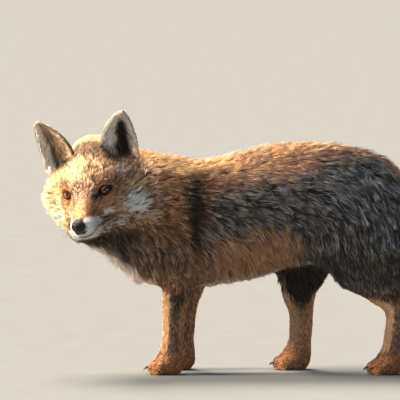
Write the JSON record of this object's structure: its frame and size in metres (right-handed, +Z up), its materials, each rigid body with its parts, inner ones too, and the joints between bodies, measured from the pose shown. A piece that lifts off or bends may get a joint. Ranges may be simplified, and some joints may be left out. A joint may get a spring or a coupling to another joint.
{
  "type": "red fox",
  "caption": "Life-size red fox that stands on all its paws with its head turned to its left, ears up and tail lowered.",
  "frame": {"origin": "on the floor under the middle of the whole animal, centre of the bounding box's base", "axes": "+X towards the tail along the body, +Y towards the fox's right side, +Z up; the nose end is towards -X"},
  "size_m": [0.8562, 0.223, 0.4373],
  "materials": {
    "flank_fur": "long guard hair, dark with pale tips",
    "rust_fur": "long rust-red guard hair",
    "face_fur": "short dense hair",
    "pale_fur": "soft white hair",
    "ear_fur": "thin pale hair over a dark back",
    "tail_fur": "long bushy hair",
    "dark_fur": "short black-brown hair",
    "nose_skin": "moist, finely grained",
    "eye": "wet and glossy",
    "claw": "smooth horn"
  },
  "bodies": {
    "root": {"ear_left": "ear_fur", "ear_right": "ear_fur", "eye_left": "eye", "eye_right": "eye", "forefoot_left": "dark_fur", "forefoot_right": "dark_fur", "foreleg_left": "dark_fur", "foreleg_right": "dark_fur", "forepaw_left": "dark_fur", "forepaw_left_claw_1": "claw", "forepaw_left_claw_2": "claw", "forepaw_left_claw_3": "claw", "forepaw_left_claw_4": "claw", "forepaw_right": "dark_fur", "forepaw_right_claw_1": "claw", "forepaw_right_claw_2": "claw", "forepaw_right_claw_3": "claw", "forepaw_right_claw_4": "claw", "head": "face_fur", "hind_foot_left": "dark_fur", "hind_foot_right": "dark_fur", "hind_paw_left": "dark_fur", "hind_paw_left_claw_1": "claw", "hind_paw_left_claw_2": "claw", "hind_paw_left_claw_3": "claw", "hind_paw_left_claw_4": "claw", "hind_paw_right": "dark_fur", "hind_paw_right_claw_1": "claw", "hind_paw_right_claw_2": "claw", "hind_paw_right_claw_3": "claw", "hind_paw_right_claw_4": "claw", "lower_jaw": "pale_fur", "neck": "rust_fur", "nose": "nose_skin", "shank_left": "rust_fur", "shank_right": "rust_fur", "tail_base": "tail_fur", "tail_middle": "tail_fur", "tail_tip": "pale_fur", "thigh_left": "flank_fur", "thigh_right": "flank_fur", "trunk": "flank_fur"}
  },
  "joints": []
}
